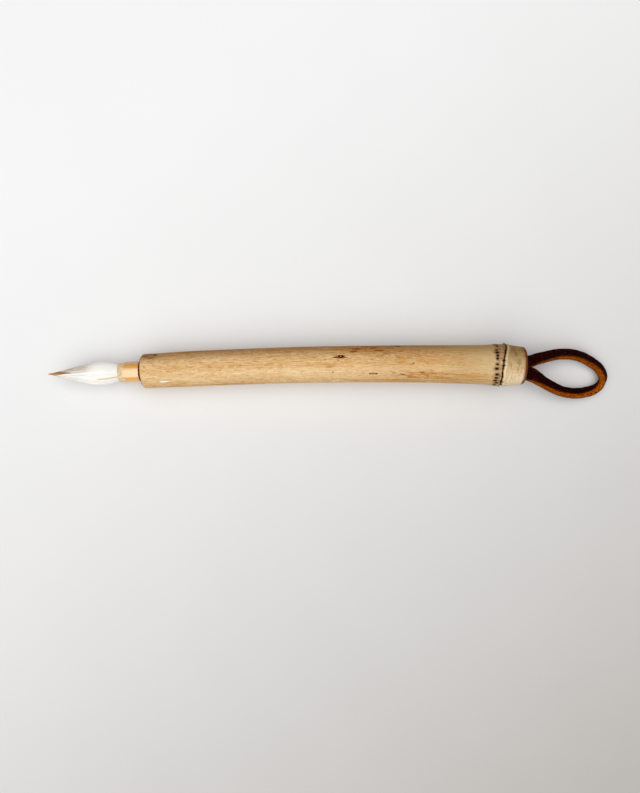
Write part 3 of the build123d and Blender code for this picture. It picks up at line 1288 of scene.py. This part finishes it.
@dataclass
class Ferrule:
    """The bamboo tube that holds the hair, and the dark seam of glue around it."""

    finish: TubeSkin
    seam: Mottled
    radius: float = 5.0
    bore_radius: float = 3.9
    exposed: float = 11.3
    socket_depth: float = 16.0
    taper: float = 2.9
    mouth_radius: float = 4.5
    mouth_bore: float = 4.15
    flare: float = 3.6
    steps: int = 96
    facets: int = 11
    bead: Knots = ((-1.2, -0.02), (-1.12, 0.1), (-0.85, 0.24), (-0.4, 0.45), (0.02, 0.75))

    def _whittle(self, mesh: bmesh.types.BMesh) -> None:
        """Cuts the mouth's taper in facets of uneven reach."""
        for vert in mesh.verts:
            run, side, rise = vert.co
            radius = math.hypot(side, rise)
            if radius < (self.bore_radius + self.radius) / 2 or not 0.01 < run <= self.taper + 1.2:
                continue
            turn = math.atan2(side, rise)
            cut = self.facets * turn / math.tau
            index = math.floor(cut)
            reach = self.taper + 0.55 * ripple(index % self.facets, 4.0, 1.5)
            flat = 0.06 * (0.5 - abs(cut - index - 0.5))
            depth = (1 - smoothstep(0.0, reach, run)) * (self.radius - self.mouth_radius) + flat
            share = smoothstep(reach + 0.8, reach - 0.4, run)
            stand_out(vert, self.radius - depth * share - radius)

    def build(self, spine: Spine, effects: Effects) -> list[bpy.types.Object]:
        """Builds the tube and its seam.

        Args:
            spine: Line from the ferrule's mouth back into the handle.
            effects: Shared node groups.

        Returns:
            The two pieces.
        """
        rear = self.exposed + self.socket_depth
        near_mouth = [i * 0.25 for i in range(1, 17)]
        further_back = [4.5 + i * 0.75 for i in range(10)]
        mesh = lathe("ferrule", [
            (rear, self.bore_radius),
            (self.flare, self.bore_radius),
            (0.0, self.mouth_bore),
            (0.0, self.mouth_radius),
            *[(run, self.radius) for run in near_mouth + further_back],
            (rear, self.radius),
            (rear, self.bore_radius),
        ], self.steps)
        self._whittle(mesh)
        tube = finished(mesh, "ferrule_tube", spine.seat, self.finish.material(effects), Slot.TUBE)
        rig.replaces(tube, "ferrule")
        return [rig.ride(tube, Body.HANDLE.value), self._seam(spine, effects)]

    def _seam(self, spine: Spine, effects: Effects) -> bpy.types.Object:
        """Builds the glue in the socket, with an uneven bead in the corner at the handle's face.

        Args:
            spine: Line from the ferrule's mouth back into the handle.
            effects: Shared node groups.

        Returns:
            The piece.
        """
        face = self.exposed
        rear = face + self.socket_depth
        outer = self.radius + 0.28
        mesh = lathe("seam", [
            (rear, self.radius),
            (face + 0.2, self.radius),
            *[(face + run, self.radius + out) for run, out in self.bead],
            (face + 0.25, outer),
            (rear, outer),
            (rear, self.radius),
        ], self.steps)
        for vert in mesh.verts:
            run, side, rise = vert.co
            if run < face + 0.1:
                vert.co.x = run + 0.3 * ripple(side * 0.9, rise * 0.9, 2.0) * (face + 0.1 - run) / 1.6
        seam = finished(mesh, "ferrule_seam", spine.seat, self.seam.material(effects), Slot.GLUE)
        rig.replaces(seam, "ferrule_glue")
        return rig.ride(seam, Body.HANDLE.value)


# ---------------------------------------------------------------- hair


@dataclass
class HairHead:
    """The head of hair: core, filler and cover as beds of locks, with separate hairs on them."""

    cover: HairFinish
    core: HairFinish
    veil: HairFinish
    length: float = 34.9
    lean: float = 1.0
    bend_length: float = 17.0
    steps: int = 120
    rings: int = 110
    hair_points: int = 9
    cover_outline: Knots = ((-12.0, 3.3), (-3.6, 3.3), (0.0, 3.85), (1.5, 4.4), (4.5, 5.25), (8.0, 5.65),
                            (12.1, 5.5), (15.5, 4.85), (19.4, 3.8), (23.3, 2.75), (27.2, 1.7),
                            (30.5, 0.95), (32.0, 0.6))
    filler_outline: Knots = ((-12.0, 2.1), (-3.6, 2.1), (0.0, 2.6), (8.0, 3.9), (16.0, 3.0), (24.0, 1.6))
    core_outline: Knots = ((-12.0, 1.1), (0.0, 1.3), (8.0, 1.9), (20.0, 1.6), (27.2, 1.2), (30.5, 0.82),
                           (33.0, 0.42), (34.9, 0.1))
    seed: int = 21

    def _place(self, spine: Spine) -> Callable[[Vector], Vector]:
        """Gives the function that leans a straight point of the head to its place.

        Args:
            spine: Line from the ferrule's mouth back into the handle.

        Returns:
            The function.
        """
        def lean(co: Vector) -> Vector:
            """Place of a straight point."""
            share = max(co.x, 0.0) / self.length
            return spine.place(-co.x * MM, (co.y + self.lean * share ** 2) * MM, co.z * MM)
        return lean

    def _bed(self, name: str, outline: Knots, groove: float, lock_count: float) -> bmesh.types.BMesh:
        """One layer as a solid of locks.

        Args:
            name: The layer.
            outline: Its radius along the head.
            groove: Depth of the grooves between locks.
            lock_count: How many locks the noise gives around it.

        Returns:
            The straight mesh.
        """
        start, end = outline[0][0], outline[-1][0]
        runs = [start + (end - start) * i / self.rings for i in range(self.rings + 1)]
        profile = [(run, through(outline, run)) for run in runs]
        mesh = lathe(name, [(start, 0.0), *profile, (end + 0.1, 0.0)], self.steps)
        for vert in mesh.verts:
            run, side, rise = vert.co
            radius = math.hypot(side, rise)
            if radius < 0.02:
                continue
            across, up = side / radius * lock_count, rise / radius * lock_count
            lock = ripple(across, up, run * 0.035)
            hair = ripple(across * 3.1, up * 3.1, run * 0.06 + 7)
            free = smoothstep(-0.5, 5.0, run)
            stand_out(vert, groove * (lock + 0.5 * hair) * free * min(1.0, radius / 2.5))
        return mesh

    def _hairs(self, count: int, thick: tuple[float, float], ends: tuple[float, float],
               starts: tuple[float, float], lift: float, arc_span: tuple[float, float],
               seed: int) -> bmesh.types.BMesh:
        """Separate hairs laid on the head.

        Args:
            count: How many.
            thick: Thinnest and thickest radius, in mm.
            ends: Nearest and furthest end, from the mouth.
            starts: Nearest and furthest start.
            lift: How far the ends of the loosest stand off.
            arc_span: Angles from the top that they start between, in degrees.
            seed: Seed of the draw.

        Returns:
            The straight mesh.
        """
        draw = random.Random(self.seed + seed)
        curve = bpy.data.curves.new("hairs", "CURVE")
        curve.dimensions = "3D"
        curve.bevel_depth = 1.0
        curve.bevel_resolution = 0
        curve.use_fill_caps = True
        for _ in range(count):
            turn = math.radians(draw.uniform(*arc_span))
            start = draw.uniform(*starts)
            end = draw.uniform(*ends)
            drift = draw.gauss(0, 0.07)
            radius = draw.uniform(*thick)
            stand = lift * draw.random() ** 3
            sink = draw.uniform(-0.08, 0.05)
            spline = curve.splines.new("POLY")
            spline.points.add(self.hair_points - 1)
            for i, point in enumerate(spline.points):
                share = i / (self.hair_points - 1)
                run = start + (end - start) * share
                base = max(through(self.cover_outline, run), through(self.core_outline, run))
                off = base + sink + stand * share ** 2
                angle = turn + drift * share + 0.02 * math.sin(share * 7 + turn * 3)
                point.co = (run, off * math.sin(angle), off * math.cos(angle), 1.0)
                point.radius = radius * (1.0 - 0.75 * share ** 2)
        data = meshed(curve)
        mesh = bmesh.new()
        mesh.from_mesh(data)
        bpy.data.meshes.remove(data)
        bmesh.ops.recalc_face_normals(mesh, faces=mesh.faces[:])
        return mesh

    def build(self, spine: Spine, effects: Effects) -> list[bpy.types.Object]:
        """Builds the layers and the hairs.

        Args:
            spine: Line from the ferrule's mouth back into the handle.
            effects: Shared node groups.

        Returns:
            The pieces.
        """
        place = self._place(spine)
        white = self.cover.material(effects)
        brown = self.core.material(effects)
        made = [
            (self._bed("cover", self.cover_outline, 0.17, 5.0), "cover_locks", white,
             Slot.WHITE_HAIR, "cover_hair"),
            (self._bed("filler", self.filler_outline, 0.05, 5.0), "filler_hair", white,
             Slot.WHITE_HAIR, "belly_hair"),
            (self._bed("core", self.core_outline, 0.08, 2.5), "core_point", brown,
             Slot.BROWN_HAIR, "core_hair"),
            (self._hairs(620, (0.05, 0.11), (22.0, 31.5), (-1.5, 7.0), 0.25, (-180, 180), 1),
             "cover_hairs", white, Slot.WHITE_HAIR, None),
            (self._hairs(90, (0.035, 0.07), (25.0, 32.5), (8.0, 20.0), 0.3, (25, 120), 2),
             "veil_hairs", self.veil.material(effects), Slot.BROWN_HAIR, None),
            (self._hairs(34, (0.04, 0.08), (31.5, 34.9), (20.0, 27.0), 0.1, (8, 52), 3),
             "point_hairs", brown, Slot.BROWN_HAIR, None),
        ]
        start = place(Vector((0.0, 0.0, 0.0)))
        end = place(Vector((self.bend_length, 0.0, 0.0)))
        pieces = []
        for mesh, name, material, slot, node in made:
            piece = finished(mesh, name, place, material, slot)
            if node:
                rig.replaces(piece, node)
            pieces.append(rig.blend(piece, Body.HANDLE.value, Body.TUFT.value, start, end))
        return pieces


# ---------------------------------------------------------------- lace


@dataclass
class Lace:
    """The leather strip, looped out of the handle's rear bore and back into it."""

    finish: Leather
    width: float = 4.4
    thickness: float = 3.6
    corner: float = 0.5
    bend_length: float = 16.0
    route: Sequence[tuple[float, float, float]] = (
        (-0.0085, 0.0024, 0.0),
        (0.0005, 0.0024, 0.0),
        (0.0095, 0.0042, -0.0011),
        (0.0185, 0.0061, -0.0031),
        (0.0280, 0.0054, -0.0055),
        (0.0356, 0.0020, -0.0073),
        (0.0406, -0.0018, -0.00795),
        (0.0422, -0.0062, -0.0080),
        (0.0400, -0.0102, -0.00795),
        (0.0350, -0.0129, -0.0074),
        (0.0275, -0.0142, -0.0060),
        (0.0190, -0.0129, -0.0040),
        (0.0105, -0.0086, -0.0018),
        (0.0005, -0.0024, 0.0),
        (-0.0085, -0.0024, 0.0),
    )
    swell: Knots = ((8.4, 1.02), (11.8, 1.28), (14.5, 1.2), (20.0, 1.1), (30.0, 1.02), (78.0, 1.02),
                    (92.0, 1.12), (96.0, 1.25), (99.0, 1.42), (102.2, 1.52), (104.0, 1.1), (104.8, 1.0))
    roll: Knots = ((9.0, 0.0), (16.0, 20.0), (27.0, 30.0), (39.0, 35.0), (47.0, 42.0), (54.5, 52.0),
                   (60.0, 80.0), (66.0, 114.0), (72.0, 129.0), (82.0, 137.0), (94.0, 152.0), (103.0, 180.0))
    draw_in: Knots = ((8.0, 0.3), (11.8, 0.95), (14.5, 0.6), (18.0, 0.45), (28.0, 0.3), (40.0, 0.1),
                      (54.5, 0.3), (64.0, 0.1), (72.0, -0.35), (84.0, -0.4), (92.0, -0.35), (99.0, -0.4),
                      (102.2, -0.3), (104.6, -0.3))

    def _line(self, exit_point: Vector) -> list[Vector]:
        """Middle line of the strip, read from the spline through its route.

        Args:
            exit_point: Middle of the handle's rear face.

        Returns:
            Its points in the row frame.
        """
        curve = bpy.data.curves.new("lace_line", "CURVE")
        curve.dimensions = "3D"
        curve.resolution_u = 14
        spline = curve.splines.new("NURBS")
        spline.points.add(len(self.route) - 1)
        for point, step in zip(spline.points, self.route):
            point.co = (*(exit_point + Vector(step)), 1.0)
        spline.order_u = 3
        spline.use_endpoint_u = True
        data = meshed(curve)
        line = [vert.co.copy() for vert in data.vertices]
        bpy.data.meshes.remove(data)
        return line

    def _section(self) -> bmesh.types.BMesh:
        """The strip's rounded section as one face across X, in mm."""
        mesh = bmesh.new()
        bmesh.ops.create_grid(mesh, x_segments=1, y_segments=1, size=0.5)
        bmesh.ops.scale(mesh, vec=(self.thickness, self.width, 1.0), verts=mesh.verts[:])
        bmesh.ops.bevel(mesh, geom=mesh.verts[:], affect="VERTICES", offset=self.corner,
                        segments=3, profile=0.5, material=-1)
        sides = [edge for edge in mesh.edges if edge.calc_length() > 1.0]
        bmesh.ops.subdivide_edges(mesh, edges=sides, cuts=5)
        bmesh.ops.rotate(mesh, cent=(0, 0, 0), matrix=Matrix.Rotation(-math.pi / 2, 3, "Y"),
                         verts=mesh.verts[:])
        return mesh

    def _strip(self, steps: Sequence[float]) -> bmesh.types.BMesh:
        """Extrudes the section into a straight strip along +X.

        Args:
            steps: Distance of each section from the strip's start, in mm.

        Returns:
            The closed mesh, in mm.
        """
        mesh = self._section()
        front = mesh.faces[:]
        for before, after in zip(steps, steps[1:]):
            grown = bmesh.ops.extrude_face_region(mesh, geom=front)["geom"]
            moved = [item for item in grown if isinstance(item, bmesh.types.BMVert)]
            bmesh.ops.translate(mesh, vec=(after - before, 0, 0), verts=moved)
            if before > steps[0]:
                bmesh.ops.delete(mesh, geom=front, context="FACES_KEEP_BOUNDARY")
            front = [item for item in grown if isinstance(item, bmesh.types.BMFace)]
        bmesh.ops.recalc_face_normals(mesh, faces=mesh.faces[:])
        return mesh

    def build(self, exit_point: Vector, effects: Effects) -> bpy.types.Object:
        """Builds the strip.

        Args:
            exit_point: Middle of the handle's rear face.
            effects: Shared node groups.

        Returns:
            The piece.
        """
        line = self._line(exit_point)
        runs = [0.0]
        for before, after in zip(line, line[1:]):
            runs.append(runs[-1] + (after - before).length / MM)
        mesh = self._strip(runs)
        frames = []
        for i, point in enumerate(line):
            tangent = (line[min(i + 1, len(line) - 1)] - line[max(i - 1, 0)]).normalized()
            right = tangent.cross(Vector((0, 0, 1))).normalized()
            up = right.cross(tangent).normalized()
            roll = math.radians(through(self.roll, runs[i]))
            edge = right * math.cos(roll) + up * math.sin(roll)
            frames.append((point, edge, tangent.cross(edge).normalized()))

        def place(co: Vector) -> Vector:
            """Place of a straight point of the strip."""
            point, edge, face = frames[min(range(len(runs)), key=lambda i: abs(runs[i] - co.x))]
            rough = 1 + 0.05 * ripple(co.x * 0.35, co.y * 0.5, co.z * 0.5)
            width = co.y * through(self.swell, co.x) + through(self.draw_in, co.x)
            spot = point + (edge * width + face * co.z) * (rough * MM)
            spot.z = max(spot.z, 0.0)
            return spot

        piece = finished(mesh, "leather_lace", place, self.finish.material(effects), Slot.LEATHER)
        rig.replaces(piece, "lace")
        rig.blend(piece, Body.HANDLE.value, Body.LOOP.value, exit_point - Vector((MM, 0, 0)),
                 exit_point + Vector((self.bend_length * MM, 0, 0)))
        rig.cord(piece, exit=exit_point, length=round(runs[-1] * MM, 4), diameter=self.width * MM,
                far_end="object", stiffness="medium", lay="loose", path=line)
        return piece


# ---------------------------------------------------------------- studio


@dataclass
class Studio:
    """Table, light and camera."""

    table_size: float = 6.0
    camera_place: tuple[float, float, float] = (0.01666, -0.0140, 0.346)
    camera_roll: float = -0.81
    lens: float = 31.5
    window_place: tuple[float, float, float] = (-0.2, -0.33, 1.95)
    window_size: tuple[float, float] = (3.6, 5.4)
    window_power: float = 103.0
    window_tint: tuple[float, float, float] = (1.0, 0.99, 0.97)
    finish: Tabletop = field(default_factory=Tabletop)

    def camera(self) -> None:
        """Adds the camera, straight above the table."""
        data = bpy.data.cameras.new("camera")
        data.lens = self.lens
        data.sensor_width = 36.0
        data.clip_start = 0.01
        camera = linked("camera", data)
        camera.location = self.camera_place
        camera.rotation_euler = (0.0, 0.0, math.radians(self.camera_roll))
        bpy.context.scene.camera = camera

    def table(self, effects: Effects) -> None:
        """Adds the table top.

        Args:
            effects: Shared node groups.
        """
        mesh = bmesh.new()
        bmesh.ops.create_grid(mesh, x_segments=1, y_segments=1, size=self.table_size / 2)
        data = bpy.data.meshes.new("tabletop")
        mesh.to_mesh(data)
        mesh.free()
        data.materials.append(self.finish.material(effects))
        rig.stage(linked("tabletop", data))

    def lights(self) -> None:
        """Adds the window light from the -Y side, which faces the brush, and a dim room."""
        place = Vector(self.window_place)
        data = bpy.data.lights.new("window", "AREA")
        data.shape = "RECTANGLE"
        data.size, data.size_y = self.window_size
        data.energy = self.window_power
        data.color = self.window_tint
        window = linked("window", data)
        window.location = place
        window.rotation_euler = (-place).to_track_quat("-Z", "Y").to_euler()
        world = bpy.data.worlds.new("room")
        world.use_nodes = True
        background = world.node_tree.nodes["Background"]
        background.inputs["Color"].default_value = (0.96, 0.97, 1.0, 1.0)
        background.inputs["Strength"].default_value = 0.06
        bpy.context.scene.world = world
        bpy.context.scene.view_settings.view_transform = "Standard"


def dress_hidden(effects: Effects) -> None:
    """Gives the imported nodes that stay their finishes: binding, rosin and glue inside the brush.

    Args:
        effects: Shared node groups.
    """
    silk = Mottled("silk_thread", 0.6, srgb(206, 196, 172), srgb(184, 170, 140), scale=4.0, depth=0.08)
    rosin = Mottled("rosin", 0.25, srgb(120, 68, 24), srgb(92, 46, 14), scale=0.8, depth=0.03)
    glue = Mottled("lacquer_glue", 0.3, srgb(56, 32, 14), srgb(34, 18, 8), scale=1.2, depth=0.05)
    for finish, nodes in ((silk, ["root_thread"]), (rosin, ["root_seal"]),
                          (glue, ["head_glue", "lace_glue"])):
        material = finish.material(effects)
        for node in nodes:
            frame["nodes"][node].data.materials.clear()
            frame["nodes"][node].data.materials.append(material)
            LOG.info("%s keeps its packed shape", node)


def main() -> None:
    """Builds the brush around its frame, from the camera to the lace."""
    logging.basicConfig(level=logging.INFO, format="%(name)s: %(message)s")
    effects = Effects()
    studio = Studio()
    studio.camera()
    studio.table(effects)
    studio.lights()

    mouth = joint_place("tuft_bend")
    exit_point = joint_place("loop_swing")
    inwards = -Vector(mount("barrel")["axis"])
    lacquer = Mottled("seam_lacquer", 0.6, srgb(106, 58, 10), srgb(60, 30, 4), scale=1.6, depth=0.05)
    ferrule = Ferrule(TubeSkin(), lacquer)
    front = mouth + inwards * (ferrule.exposed * MM)
    head_line = Spine(mouth, inwards, 1.0)
    culm_line = Spine(front, inwards, 14.0 * MM, exit_point)

    Handle(CulmSkin()).build(culm_line, effects)
    ferrule.build(head_line, effects)
    cover = HairFinish()
    core = HairFinish("brown_hair", turn_start=10.0, turn_end=20.0, sheen=0.0)
    veil = HairFinish("veil_hair", body=cover.grey, cream=srgb(186, 160, 118), sheen=0.0)
    HairHead(cover, core, veil).build(head_line, effects)
    Lace(Leather()).build(exit_point, effects)
    dress_hidden(effects)

    with open(SIZE_FILE, "w") as out:
        json.dump({"cad": [list(corner) for corner in cad_box],
                   "visual": [list(corner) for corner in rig.bounds()]}, out)


if __name__ == "__main__":
    main()
